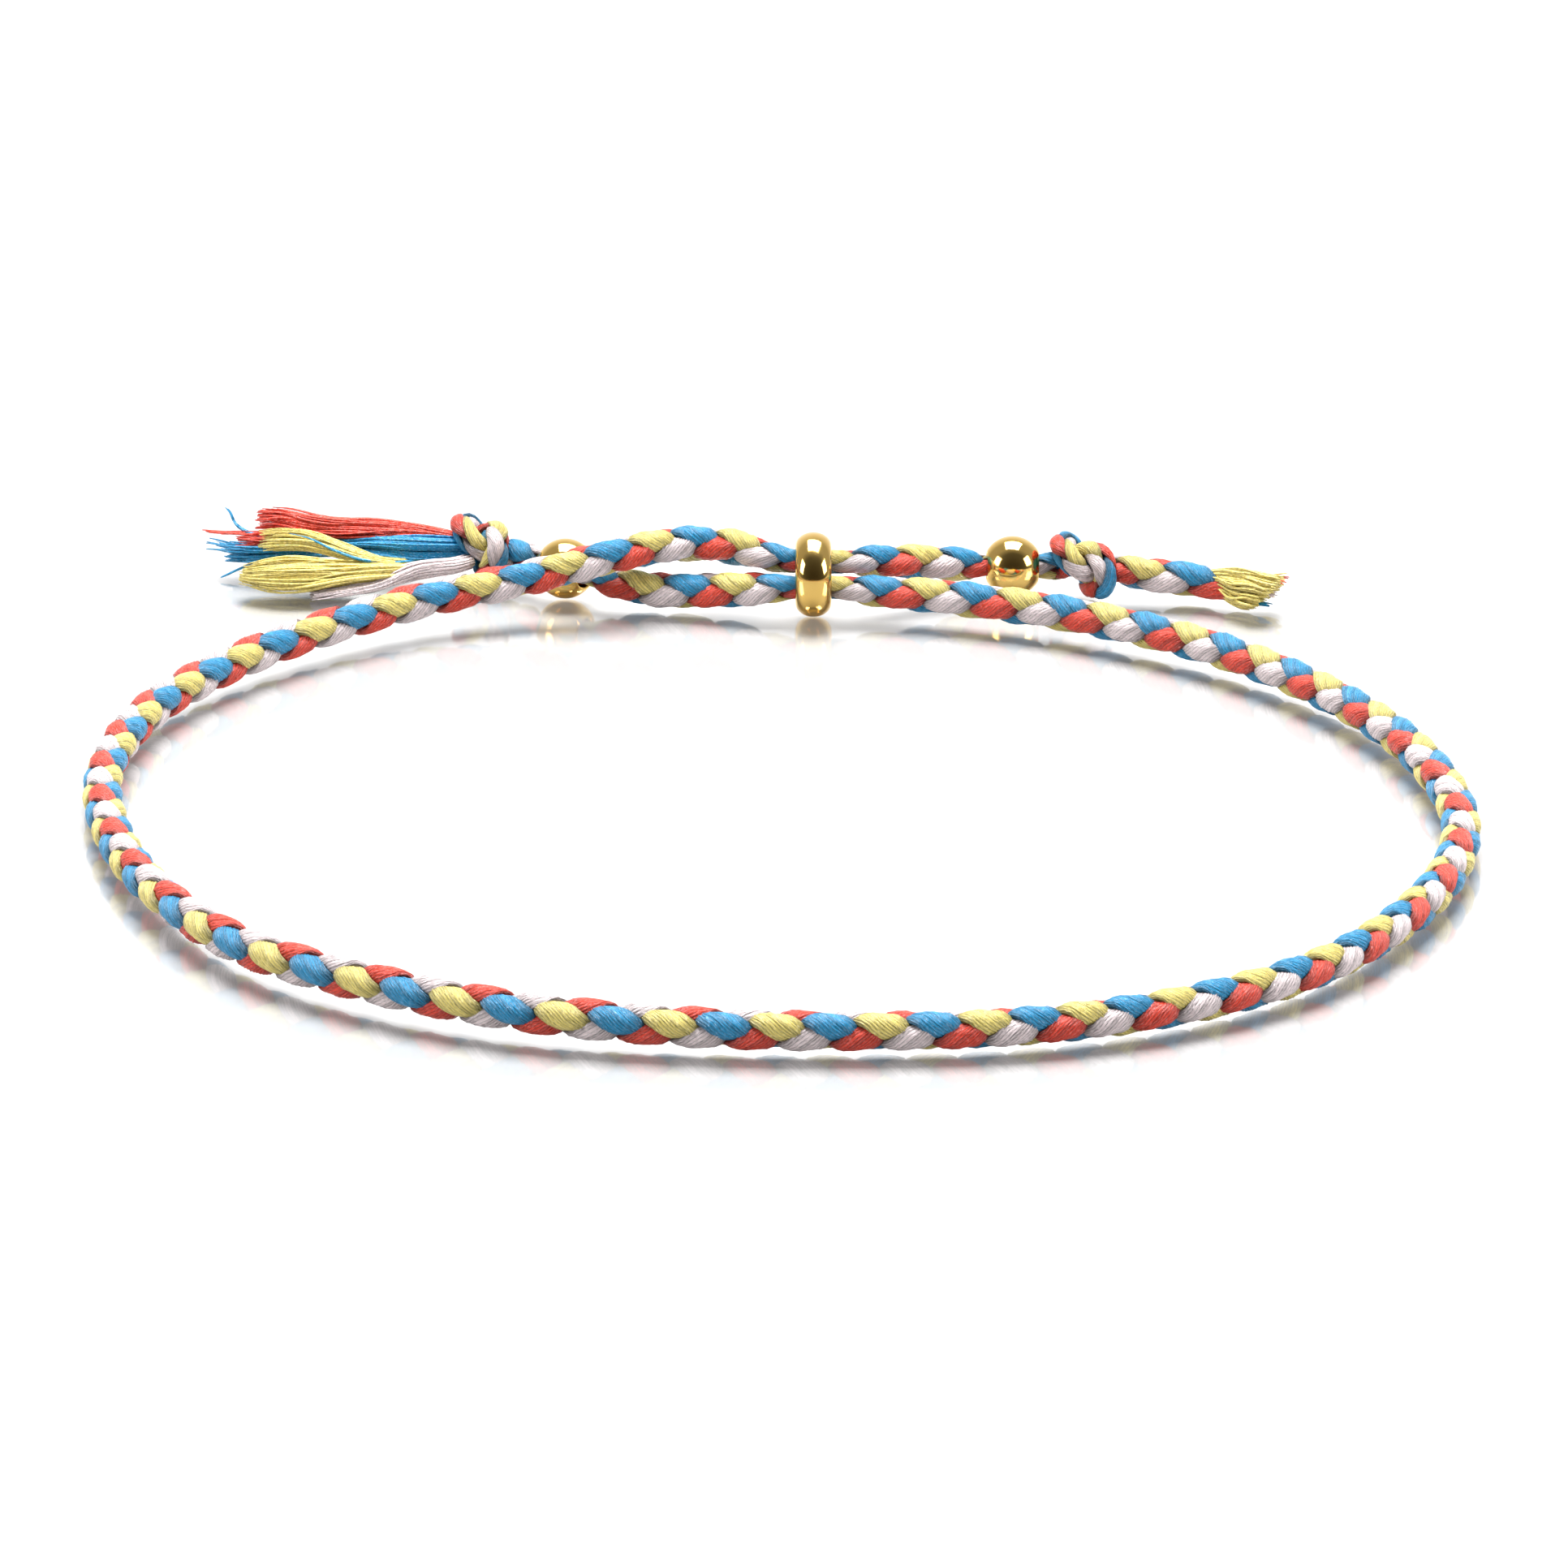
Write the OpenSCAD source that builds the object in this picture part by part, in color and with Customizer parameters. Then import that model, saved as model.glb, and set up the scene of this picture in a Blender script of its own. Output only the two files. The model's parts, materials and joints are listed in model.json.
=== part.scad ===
/* [Cord] */
// Diameter of the braided cord where nothing squeezes it
cord_d = 1.9; // [1.6:0.05:1.9]
// Faces around the cord
cord_sides = 8; // [6:1:8]
// Height of the middle of each knot above the table
knot_rise = 1.7; // [1.7:0.05:1.9]

/* [Ball beads] */
// Diameter of the two ball beads behind the knots
ball_d = 3.0; // [2.6:0.1:3.0]
// Diameter of the hole through each ball bead
ball_hole_d = 1.4; // [1.35:0.05:1.6]

/* [Sliding bead] */
// Outer diameter of the bead that both ends of the cord run through
slider_d = 4.2; // [4.0:0.1:4.2]
// Width of the sliding bead along the cord
slider_w = 1.8; // [1.4:0.1:1.8]
// Diameter of its hole, wide enough for two cords side by side
slider_hole_d = 2.84; // [2.8:0.02:3.2]

/* [Knots] */
// Thickness of the squeezed cord in a knot's turns
turn_d = 1.6; // [1.4:0.05:1.6]
// Outer diameter of a tightened knot
knot_d = 3.4; // [3.0:0.1:3.4]
// Distance between the middles of a knot's two turns
turn_gap = 1.2; // [0.9:0.1:1.2]
// Direction of the left knot, turned from +X towards +Y
knot_left_turn = 150; // [140:1:160]
// Direction of the right knot, turned from +X towards +Y
knot_right_turn = -8; // [-16:1:0]

/* [Ends] */
// Faces around the loose threads of the tassel and the tuft
thread_sides = 12; // [8:2:16]

/* [Hidden] */

// Route of the cord's middle, from the left knot through the left ball bead and the
// sliding bead, round the wrist, over itself and through the sliding bead again, to
// the right ball bead and knot. Width is its thickness there against the full one.
// Columns: x, y, z, width
ROUTE = [
    [-13.2, 32.55, 1.64, 0.85],
    [-12.6, 32.05, 1.60, 0.92],
    [-11.9, 31.45, 1.56, 0.65],
    [-10.6, 30.50, 1.50, 0.65],
    [ -9.3, 29.55, 1.44, 0.65],
    [ -8.1, 29.05, 1.25, 0.92],
    [ -6.0, 28.60, 0.98, 1.00],
    [ -3.6, 28.20, 1.08, 1.00],
    [ -1.5, 27.60, 1.32, 1.00],
    [ -0.3, 27.27, 1.49, 0.84],
    [  0.7, 27.13, 1.57, 0.68],
    [  1.7, 27.15, 1.58, 0.68],
    [  2.7, 27.13, 1.57, 0.68],
    [  3.6, 27.10, 1.51, 0.74],
    [  4.8, 26.98, 1.42, 0.90],
    [  8.8, 26.20, 1.30, 1.00],
    [ 14.5, 23.80, 1.20, 1.00],
    [ 20.4, 19.40, 1.15, 1.00],
    [ 25.2, 13.80, 1.05, 1.00],
    [ 28.8,  7.20, 0.97, 1.00],
    [ 30.9,  0.20, 0.95, 1.00],
    [ 31.7, -7.30, 0.95, 1.00],
    [ 30.6,-14.80, 0.95, 1.00],
    [ 27.8,-21.90, 0.95, 1.00],
    [ 23.5,-28.20, 0.95, 1.00],
    [ 17.4,-32.80, 0.95, 1.00],
    [ 10.4,-35.30, 0.95, 1.00],
    [  2.9,-35.90, 0.97, 1.00],
    [ -4.5,-35.50, 1.05, 1.00],
    [-11.8,-33.80, 1.20, 1.00],
    [-18.6,-30.10, 1.25, 1.00],
    [-24.3,-24.80, 1.15, 1.00],
    [-28.4,-17.10, 1.05, 1.00],
    [-30.9, -8.50, 0.97, 1.00],
    [-31.7,  0.70, 0.97, 1.00],
    [-29.8, 10.10, 1.05, 1.00],
    [-25.1, 18.00, 1.25, 1.00],
    [-18.5, 24.30, 1.55, 1.00],
    [-12.6, 26.85, 2.10, 1.00],
    [ -9.0, 27.55, 2.85, 1.00],
    [ -6.4, 28.60, 3.15, 1.00],
    [ -4.2, 29.25, 3.18, 1.00],
    [ -2.2, 29.10, 3.05, 1.00],
    [ -0.6, 28.42, 2.80, 0.84],
    [  0.6, 28.08, 2.65, 0.68],
    [  1.7, 28.05, 2.62, 0.68],
    [  2.7, 28.07, 2.60, 0.68],
    [  3.6, 28.24, 2.55, 0.74],
    [  4.8, 28.72, 2.42, 0.92],
    [  7.2, 29.85, 2.02, 1.00],
    [  8.9, 30.50, 1.72, 0.94],
    [ 10.3, 30.85, 1.53, 0.65],
    [ 11.6, 30.90, 1.50, 0.65],
    [ 12.9, 30.95, 1.47, 0.65],
    [ 13.6, 30.95, 1.50, 0.78]
];
// Rows of ROUTE in the middle of the two ball beads
BALL_LEFT_ROW = 3;
BALL_RIGHT_ROW = 52;
// Rows of ROUTE side by side in the middle of the sliding bead
SLIDER_ROWS = [11, 45];

// Short braided end past the right knot. Columns: x, y, z, width
TAIL_ROUTE = [
    [ 16.8, 30.40, 1.50, 0.85],
    [ 18.3, 30.10, 1.30, 0.97],
    [ 20.6, 29.90, 1.10, 1.00],
    [ 22.4, 29.20, 0.95, 1.00]
];

// Loose threads past the left knot, as an outer form lying on the table.
// Columns: x, y of the middle, half width, lowest z, highest z
TASSEL_SECTIONS = [
    [-16.5, 33.80, 0.9, 0.8, 2.6],
    [-18.0, 33.60, 1.4, 0.4, 2.9],
    [-20.5, 33.20, 2.3, 0.1, 3.0],
    [-23.5, 33.00, 3.3, 0.0, 3.0],
    [-26.5, 33.05, 3.95, 0.0, 2.7],
    [-28.8, 33.60, 2.4, 0.4, 2.0]
];
// Loose threads past the braided tail, in the same columns
TUFT_SECTIONS = [
    [22.80, 29.05, 0.80, 0.15, 1.80],
    [23.60, 28.70, 1.05, 0.05, 2.00],
    [24.80, 28.10, 1.40, 0.00, 2.20],
    [25.40, 27.80, 1.10, 0.30, 1.90]
];

KNOT_LEFT_AT = [-14.65, 33.4, knot_rise];
KNOT_RIGHT_AT = [15.15, 30.6, knot_rise];

cord_r = cord_d / 2;
// Longest step along the route without a ring of corners half way
ring_step = 2.5 * cord_d;
slider_r = slider_d / 2;
slider_hole_r = slider_hole_d / 2;
turn_r = turn_d / 2;
ring_r = knot_d / 2 - turn_r;

// Centre of a row of ROUTE, and the middle between the two rows in the sliding bead
function place(row) = [row.x, row.y, row.z];
slider_at = (place(ROUTE[SLIDER_ROWS[0]]) + place(ROUTE[SLIDER_ROWS[1]])) / 2;

// Catmull-Rom mean of four rows: the point half way along the smooth curve from b to c
function half_way(a, b, c, d) = (9 * (b + c) - a - d) / 16;
function smooth_row(rows, i) =
    let (last = len(rows) - 1)
    half_way(rows[max(i - 1, 0)], rows[i], rows[i + 1], rows[min(i + 2, last)]);
// Each row of a route, and where the next is over ring_step away the row half way to it
function with_middles(rows) = [
    for (i = [0 : len(rows) - 2]) each
        norm(place(rows[i + 1]) - place(rows[i])) > ring_step
            ? [rows[i], smooth_row(rows, i)] : [rows[i]],
    rows[len(rows) - 1]
];

function unit(v) = v / norm(v);
function heading(rows, i) =
    unit(place(rows[min(i + 1, len(rows) - 1)]) - place(rows[max(i - 1, 0)]));
// Level direction across the route, and the direction square to it and to the route
function across(t) = unit(cross([0, 0, 1], t));

// One ring of corners around a row, square to the route, with its lowest corner below
function cord_ring(rows, i) =
    let (t = heading(rows, i), side = across(t), up = cross(t, side))
    [for (k = [0 : cord_sides - 1])
        let (a = 360 * k / cord_sides - 90)
        place(rows[i]) + cord_r * rows[i][3] * (cos(a) * side + sin(a) * up)];

// One ring of corners around a section of loose threads, upright across x
function thread_ring(row) =
    let (mid = (row[3] + row[4]) / 2, tall = (row[4] - row[3]) / 2)
    [for (k = [0 : thread_sides - 1])
        let (a = 360 * (k + 0.5) / thread_sides)
        [row.x, row.y + row[2] * cos(a), mid + tall * sin(a)]];

// A closed skin through a list of rings that all have the same number of corners.
// The rings go round the direction of travel by the right-hand rule.
module skin(rings) {
    n = len(rings[0]);
    last = len(rings) - 1;
    points = [for (ring = rings) each ring];
    walls = [for (j = [0 : last - 1], k = [0 : n - 1])
        let (m = (k + 1) % n)
        each [[j * n + k, (j + 1) * n + k, (j + 1) * n + m],
              [j * n + k, (j + 1) * n + m, j * n + m]]];
    first_cap = [for (k = [0 : n - 1]) k];
    last_cap = [for (k = [n - 1 : -1 : 0]) last * n + k];
    polyhedron(points = points, faces = concat(walls, [first_cap, last_cap]));
}

module cord_along(route) {
    rows = with_middles(route);
    skin([for (i = [0 : len(rows) - 1]) cord_ring(rows, i)]);
}

// Half of an ellipse standing on the bore's wall: the section of the sliding bead
module slider_section() {
    rim = slider_r - slider_hole_r;
    polygon([for (a = [0 : 15 : 180])
        [slider_hole_r + rim * sin(a), slider_w / 2 * cos(a)]]);
}

// The bead has its hole along Z here and is turned to run along X
module sliding_bead() {
    color("goldenrod")
    translate(slider_at)
    rotate([0, 90, 0])
    rotate_extrude($fn = 96)
        slider_section();
}

// A drilled ball at a row of the route, with its hole along the thread
module ball_bead(row) {
    thread = heading(ROUTE, row);
    color("gold")
    translate(place(ROUTE[row]))
    rotate([0, acos(thread.z), atan2(thread.y, thread.x)])
    difference() {
        sphere(d = ball_d, $fn = 64);
        cylinder(d = ball_hole_d, h = 2 * ball_d, center = true, $fn = 48);
    }
}

module ball_bead_left() {
    ball_bead(BALL_LEFT_ROW);
}

module ball_bead_right() {
    ball_bead(BALL_RIGHT_ROW);
}

// Outer form of a tightened overhand knot: two round turns side by side on a core
module knot(at, turn) {
    translate(at)
    rotate([0, 90, turn])
    rotate_extrude($fn = 48) {
        translate([ring_r, turn_gap / 2]) circle(d = turn_d, $fn = 32);
        translate([ring_r, -turn_gap / 2]) circle(d = turn_d, $fn = 32);
        translate([0, -turn_gap / 2 - turn_r]) square([ring_r, turn_gap + turn_d]);
    }
}

module knot_left() {
    color("khaki") knot(KNOT_LEFT_AT, knot_left_turn);
}

module knot_right() {
    color("khaki") knot(KNOT_RIGHT_AT, knot_right_turn);
}

module braided_cord() {
    color("steelblue") cord_along(ROUTE);
}

module cord_tail() {
    color("lightblue") cord_along(TAIL_ROUTE);
}

// The tassel's sections run towards -X, so its rings are taken in reverse
module tassel() {
    last = len(TASSEL_SECTIONS) - 1;
    color("tomato")
    skin([for (i = [last : -1 : 0]) thread_ring(TASSEL_SECTIONS[i])]);
}

module tuft() {
    color("lightyellow")
    skin([for (row = TUFT_SECTIONS) thread_ring(row)]);
}

braided_cord();
sliding_bead();
ball_bead_left();
ball_bead_right();
knot_left();
knot_right();
cord_tail();
tassel();
tuft();
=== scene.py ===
# %% [markdown]
# A braided thread bracelet with gold beads
#
# The real bracelet is one cord, braided by hand from four bundles of cotton thread: blue,
# yellow, coral and white. It runs from a knot with a long tassel through a gold ball, a
# gold ring, once round the wrist, through the same ring again, through a second ball and
# into a second knot with a short frayed tail. The CAD model holds the sizes and the route.
# This script makes the looks: every bundle of the braid, two real overhand knots, the
# loose threads and the polished beads.

# %% Load the CAD model and its bodies
import json
import math

import bpy
import numpy as np
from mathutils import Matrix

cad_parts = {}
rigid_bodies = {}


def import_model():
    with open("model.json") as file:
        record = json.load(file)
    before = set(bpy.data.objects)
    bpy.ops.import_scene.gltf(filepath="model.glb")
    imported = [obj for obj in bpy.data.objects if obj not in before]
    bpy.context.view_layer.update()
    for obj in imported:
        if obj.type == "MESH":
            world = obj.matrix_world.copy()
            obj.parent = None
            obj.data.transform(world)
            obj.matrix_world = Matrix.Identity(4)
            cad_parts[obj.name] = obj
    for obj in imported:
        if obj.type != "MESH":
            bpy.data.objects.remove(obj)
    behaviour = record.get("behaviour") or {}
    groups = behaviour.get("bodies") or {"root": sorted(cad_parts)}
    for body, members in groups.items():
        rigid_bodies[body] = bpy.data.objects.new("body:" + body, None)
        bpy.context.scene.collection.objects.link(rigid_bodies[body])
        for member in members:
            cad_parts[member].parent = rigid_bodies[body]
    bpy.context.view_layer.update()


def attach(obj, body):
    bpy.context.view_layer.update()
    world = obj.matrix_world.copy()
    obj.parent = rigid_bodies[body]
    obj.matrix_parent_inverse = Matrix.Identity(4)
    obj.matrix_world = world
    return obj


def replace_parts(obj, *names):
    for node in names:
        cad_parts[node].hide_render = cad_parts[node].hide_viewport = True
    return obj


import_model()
MM = 0.001
scene = bpy.context.scene

# %% [markdown]
# The photograph is taken from a low angle with a long lens. The size of the two balls,
# the repeat of the braid in front and behind, and the width of the loop give the place
# of the camera: 18.5 degrees above the table, 528 mm away, straight from the front. The
# focal length is measured in widths of the square picture, so the lens follows from it.

# %% Camera


def new_object(name, data):
    """An object of this data, linked to the scene."""
    thing = bpy.data.objects.new(name, data)
    scene.collection.objects.link(thing)
    return thing


CAMERA_AIM = np.array([0.25, 1.25, 0.0]) * MM
CAMERA_DISTANCE = 528 * MM
CAMERA_ELEVATION = math.radians(18.5)
FOCAL_WIDTHS = 7.133

camera_data = bpy.data.cameras.new("photo_camera")
camera_data.sensor_width = 36.0
camera_data.lens = FOCAL_WIDTHS * camera_data.sensor_width
camera_data.clip_start = 0.05
camera_data.clip_end = 20.0
camera = new_object("photo_camera", camera_data)
back = np.array([0, -math.cos(CAMERA_ELEVATION), math.sin(CAMERA_ELEVATION)])
camera.location = CAMERA_AIM + CAMERA_DISTANCE * back
camera.rotation_euler = (math.pi / 2 - CAMERA_ELEVATION, 0, 0)
scene.camera = camera
print("lens: %.0f mm" % camera_data.lens)

# %% [markdown]
# The cord comes first. Its middle follows a table of rows, the same one as in
# the CAD source, and a smooth curve goes through them. A curve object with a bevel could
# draw a plain tube along it, but a braid needs to know at each point which way is across
# and which way is up, so the curve is worked out here as arrays. The last column is how
# thick the cord is there: the beads squeeze it.

# %% The route of the cord
# Columns: x, y, z in mm, thickness against the full one
ROUTE = np.array([
    [-13.2, 32.55, 1.64, 0.85], [-12.6, 32.05, 1.60, 0.92], [-11.9, 31.45, 1.56, 0.65],
    [-10.6, 30.50, 1.50, 0.65], [-9.3, 29.55, 1.44, 0.65], [-8.1, 29.05, 1.25, 0.92],
    [-6.0, 28.60, 0.98, 1.00], [-3.6, 28.20, 1.08, 1.00], [-1.5, 27.60, 1.32, 1.00],
    [-0.3, 27.27, 1.49, 0.84], [0.7, 27.13, 1.57, 0.68], [1.7, 27.15, 1.58, 0.68],
    [2.7, 27.13, 1.57, 0.68], [3.6, 27.10, 1.51, 0.74], [4.8, 26.98, 1.42, 0.90],
    [8.8, 26.20, 1.30, 1.00], [14.5, 23.80, 1.20, 1.00], [20.4, 19.40, 1.15, 1.00],
    [25.2, 13.80, 1.05, 1.00], [28.8, 7.20, 0.97, 1.00], [30.9, 0.20, 0.95, 1.00],
    [31.7, -7.30, 0.95, 1.00], [30.6, -14.80, 0.95, 1.00], [27.8, -21.90, 0.95, 1.00],
    [23.5, -28.20, 0.95, 1.00], [17.4, -32.80, 0.95, 1.00], [10.4, -35.30, 0.95, 1.00],
    [2.9, -35.90, 0.97, 1.00], [-4.5, -35.50, 1.05, 1.00], [-11.8, -33.80, 1.20, 1.00],
    [-18.6, -30.10, 1.25, 1.00], [-24.3, -24.80, 1.15, 1.00], [-28.4, -17.10, 1.05, 1.00],
    [-30.9, -8.50, 0.97, 1.00], [-31.7, 0.70, 0.97, 1.00], [-29.8, 10.10, 1.05, 1.00],
    [-25.1, 18.00, 1.25, 1.00], [-18.5, 24.30, 1.55, 1.00], [-12.6, 26.85, 2.10, 1.00],
    [-9.0, 27.55, 2.85, 1.00], [-6.4, 28.60, 3.15, 1.00], [-4.2, 29.25, 3.18, 1.00],
    [-2.2, 29.10, 3.05, 1.00], [-0.6, 28.42, 2.80, 0.84], [0.6, 28.08, 2.65, 0.68],
    [1.7, 28.05, 2.62, 0.68], [2.7, 28.07, 2.60, 0.68], [3.6, 28.24, 2.55, 0.74],
    [4.8, 28.72, 2.42, 0.92], [7.2, 29.85, 2.02, 1.00], [8.9, 30.50, 1.72, 0.94],
    [10.3, 30.85, 1.53, 0.65], [11.6, 30.90, 1.50, 0.65], [12.9, 30.95, 1.47, 0.65],
    [13.6, 30.95, 1.50, 0.78],
])
BALL_ROWS = {"ball_bead_left": 3, "ball_bead_right": 52}
RING_ROWS = [11, 45]
TAIL_ROUTE = np.array([
    [16.8, 30.40, 1.50, 0.85], [18.3, 30.10, 1.30, 0.97], [20.6, 29.90, 1.10, 1.00],
    [22.4, 29.20, 0.95, 0.80],
])


def smooth_rows(rows, per_span=24):
    """A cubic through each pair of rows whose slope at a row is half of the step from
    the row before it to the row after it (Catmull-Rom)."""
    rows = np.vstack([2 * rows[0] - rows[1], rows, 2 * rows[-1] - rows[-2]])
    t = np.linspace(0, 1, per_span, endpoint=False)[None, :, None]
    a, b, c, d = (rows[k:len(rows) - 3 + k][:, None, :] for k in range(4))
    spans = 0.5 * (2 * b + (c - a) * t + (2 * a - 5 * b + 4 * c - d) * t ** 2
                   + (3 * b - a - 3 * c + d) * t ** 3)
    return np.vstack([spans.reshape(-1, rows.shape[1]), rows[-2]])


def lengths_along(points):
    """The distance from the first point to each point, along the line through them."""
    steps = np.linalg.norm(np.diff(points[:, :3], axis=0), axis=1)
    return np.concatenate([[0.0], np.cumsum(steps)])


def read_table(places, table, t):
    """The columns of a table, whose rows lie at these places, read at the places t."""
    return np.stack([np.interp(t, places, column) for column in table.T], axis=-1)


def spaced(points, count):
    """The same line with its points an equal distance apart."""
    run = lengths_along(points)
    return read_table(run, points, np.linspace(0, run[-1], count))


print("route of the cord from knot to knot: %.1f mm" % lengths_along(smooth_rows(ROUTE))[-1])

# %% [markdown]
# An overhand knot has a shape that nobody needs to draw: tie it loosely and pull. The
# start is a known curve with a knot in it, whose x, y and z are sums of powers of one
# number. Then it shrinks step by step. In each step every point moves towards the middle
# between its neighbours, as in a pulled cord, and points nearer than the cord's thickness
# push each other away, so that the cord can't pass through itself.

# %% A loose overhand knot


def loose_knot(ends=2.15, points=60, lower=0.52, limit=6, first_y=2.0, lead_end=7.0):
    """A curve with an overhand knot in it: x = t^3 - 3t, y = t^4 - 4t^2, z = t^5 - 10t for
    t between the two ends, made lower and with its height limited. A straight lead joins
    each of its ends to a point of the x axis."""
    t = np.linspace(-ends, ends, points)
    loop = np.stack([t ** 3 - 3 * t, t ** 4 - 4 * t ** 2, lower * (t ** 5 - 10 * t)], axis=1)
    loop[:, 2] /= 1 + np.abs(loop[:, 2]) / limit
    loop[:, 1] += first_y - loop[0, 1]
    end = np.array([lead_end, 0.0, 0.0])
    lead = np.linspace(0, 1, 5)[:-1, None]
    return np.vstack([lead * (loop[0] + end) - end, loop,
                      (loop[-1] + lead * (end - loop[-1]))[1:], end[None]])


# %% The same knot, pulled tight
KNOT_CORD_D = 1.05
KNOT_REACH = 1.75
# Size of the loose knot, and length along the cord within which nothing pushes, both in
# thicknesses of the cord. Pull and push are shares of the way, in one step.
LOOSE_SIZE, FREE_LENGTH = 0.85, 1.6
PULL, PUSH = 0.5, 0.63


def tie_knot(thick, reach, count=90, shrinks=300, pulls=260):
    """Points of a tight overhand knot whose ends lie at -reach and +reach on the x axis.
    Pull: a point moves towards the middle between its neighbours. Push: points nearer
    than the thickness move apart along the line between them."""
    cord = spaced(loose_knot() * LOOSE_SIZE * thick, count)
    shrink = (reach / cord[-1, 0]) ** (1 / shrinks)
    order = np.arange(count)
    apart = np.abs(order[:, None] - order[None, :])
    for step in range(shrinks + pulls):
        if step < shrinks:
            cord = cord * shrink
        if step % 5 == 0:
            cord = spaced(cord, count)
        space = lengths_along(cord)[-1] / (count - 1)
        for _ in range(3):
            cord[1:-1] += PULL * ((cord[:-2] + cord[2:]) / 2 - cord[1:-1])
        for _ in range(2):
            gap = cord[:, None, :] - cord[None, :, :]
            near = np.sqrt((gap ** 2).sum(axis=2))
            touch = (apart * space > FREE_LENGTH * thick) & (near < thick)
            push = np.where(touch, PUSH * (thick - near) / np.maximum(near, 1e-9), 0)
            move = (push[:, :, None] * gap).sum(axis=1)
            move /= np.maximum(touch.sum(axis=1), 1)[:, None]
            move[[0, -1]] = 0
            cord = cord + move
    return cord


knot = tie_knot(KNOT_CORD_D, KNOT_REACH)
print("cord in one knot: %.1f mm" % lengths_along(knot)[-1])

# %% [markdown]
# Each knot is turned so that its ends meet the route on one side and the loose threads on
# the other, and drawn out a little along that line, so that its turns lie side by side.
# A knot has no front of its own, so its roll round the line is chosen to show the two
# slanting turns that the photograph shows. A small extra twist and shift of the braid in
# it bring the right colours to the front. All stretches then become one line of evenly
# spaced stations, which everything in the braid is worked out from.

# %% One line of stations from the tassel to the tuft
STATION_MM = 0.23
# The cord's thickness in a knot against the full one, the lowest height of its middle
# there, and how far from each end of its stretch the knot's own points stop, in mm
KNOT_WIDTH, KNOT_REST, KNOT_TRIM = 0.69, 0.62, 0.2
# place: start and end in mm, roll in degrees, stretch along the line
# twist: extra degrees at its two ends; repeats: extra repeats of the braid
KNOTS = {
    "knot_left": {"place": ([-16.35, 33.95, 1.75], [-13.2, 32.55, 1.64], -70, 1.15),
                  "twist": (100, -4), "repeats": 0.4167},
    "knot_right": {"place": ([13.6, 30.95, 1.50], [16.8, 30.40, 1.50], -50, 1.05),
                   "twist": (-12, -188), "repeats": -0.1667},
}


def unit(vectors):
    """The same directions with length 1, for one vector or an array of them."""
    return vectors / np.linalg.norm(vectors, axis=-1, keepdims=True)


def place_knot(start, end, roll, stretch):
    """The knot turned from the x axis to the line from start to end, and rolled about
    that line. Its middle is moved on to the line. The half under that height is pressed
    up until its lowest strand rests on the table."""
    start, end = np.array(start), np.array(end)
    along = unit(end - start)
    level = unit(np.cross([0, 0, 1], along))
    up = np.cross(along, level)
    turn = math.radians(roll)
    across = math.cos(turn) * level + math.sin(turn) * up
    rise = np.cross(along, across)
    body = knot.copy()
    middle = (body.min(axis=0) + body.max(axis=0)) / 2
    body[:, 1:] -= middle[1:]
    body[:, 0] *= stretch
    points = (start + end) / 2 + body @ np.stack([along, across, rise])
    height = (start[2] + end[2]) / 2
    press = min(1, (height - KNOT_REST) / (height - points[:, 2].min()))
    points[:, 2] = height + (points[:, 2] - height) * np.where(points[:, 2] < height, press, 1)
    keep = np.abs(body[:, 0]) < np.linalg.norm(end - start) / 2 - KNOT_TRIM
    return np.column_stack([points[keep], np.full(len(points[keep]), KNOT_WIDTH)])


def blur(values, width):
    """A running mean with a bell-shaped weight, width in stations, ends held."""
    reach = int(3 * width)
    bell = np.exp(-0.5 * (np.arange(-reach, reach + 1) / width) ** 2)
    padded = np.pad(values, reach, mode="edge")
    return np.convolve(padded, bell / bell.sum(), mode="valid")


left_knot, right_knot = (place_knot(*facts["place"]) for facts in KNOTS.values())
whole = smooth_rows(np.vstack([left_knot[::3], ROUTE, right_knot[::3], TAIL_ROUTE]), per_span=16)
whole = spaced(whole, int(round(lengths_along(whole)[-1] / STATION_MM)) + 1)
run = lengths_along(whole)
nearest = [int(np.linalg.norm(whole[:, :3] - row[:3], axis=1).argmin())
           for row in (ROUTE[0], ROUTE[-1], TAIL_ROUTE[0])]
CUTS = {"knot_left": (0, nearest[0] + 1), "braid": (nearest[0], nearest[1] + 1),
        "knot_right": (nearest[1], nearest[2] + 1), "tail": (nearest[2], len(whole))}
print("stations:", len(whole), "cuts:", CUTS, "whole length: %.1f mm" % run[-1])

# %% [markdown]
# A direction across the cord has to be carried along it without spinning. Each station
# takes over the direction of the one before it, turned only as much as the line itself
# turns. On the open stretch a second direction is known: straight out of the loop. The
# angle between the two lets the twist of the braid be given against the table and the
# wrist, which is how it can be read from the photograph.

# %% Directions at each station
line = whole[:, :3]
tangent = unit(np.gradient(line, axis=0))
carried = np.zeros_like(line)
carried[0] = unit(np.cross([0, 0, 1], tangent[0]))
for i in range(1, len(line)):
    carried[i] = unit(carried[i - 1] - tangent[i] * (carried[i - 1] @ tangent[i]))
carried_up = np.cross(tangent, carried)
outward = unit(np.cross([0, 0, 1], tangent))
lean = np.unwrap(np.arctan2((outward * carried_up).sum(axis=1), (outward * carried).sum(axis=1)))
print("that angle runs over %.0f degrees" % np.degrees(np.ptp(lean)))

# %% [markdown]
# The braid repeats about every 4.7 mm, and the whole cord is slowly twisted on its way
# round, so that the blue and yellow rows lie on top in front and on the inside behind.
# Both are measured on the photograph's patches of colour, rounded and kept as a table.

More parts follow.
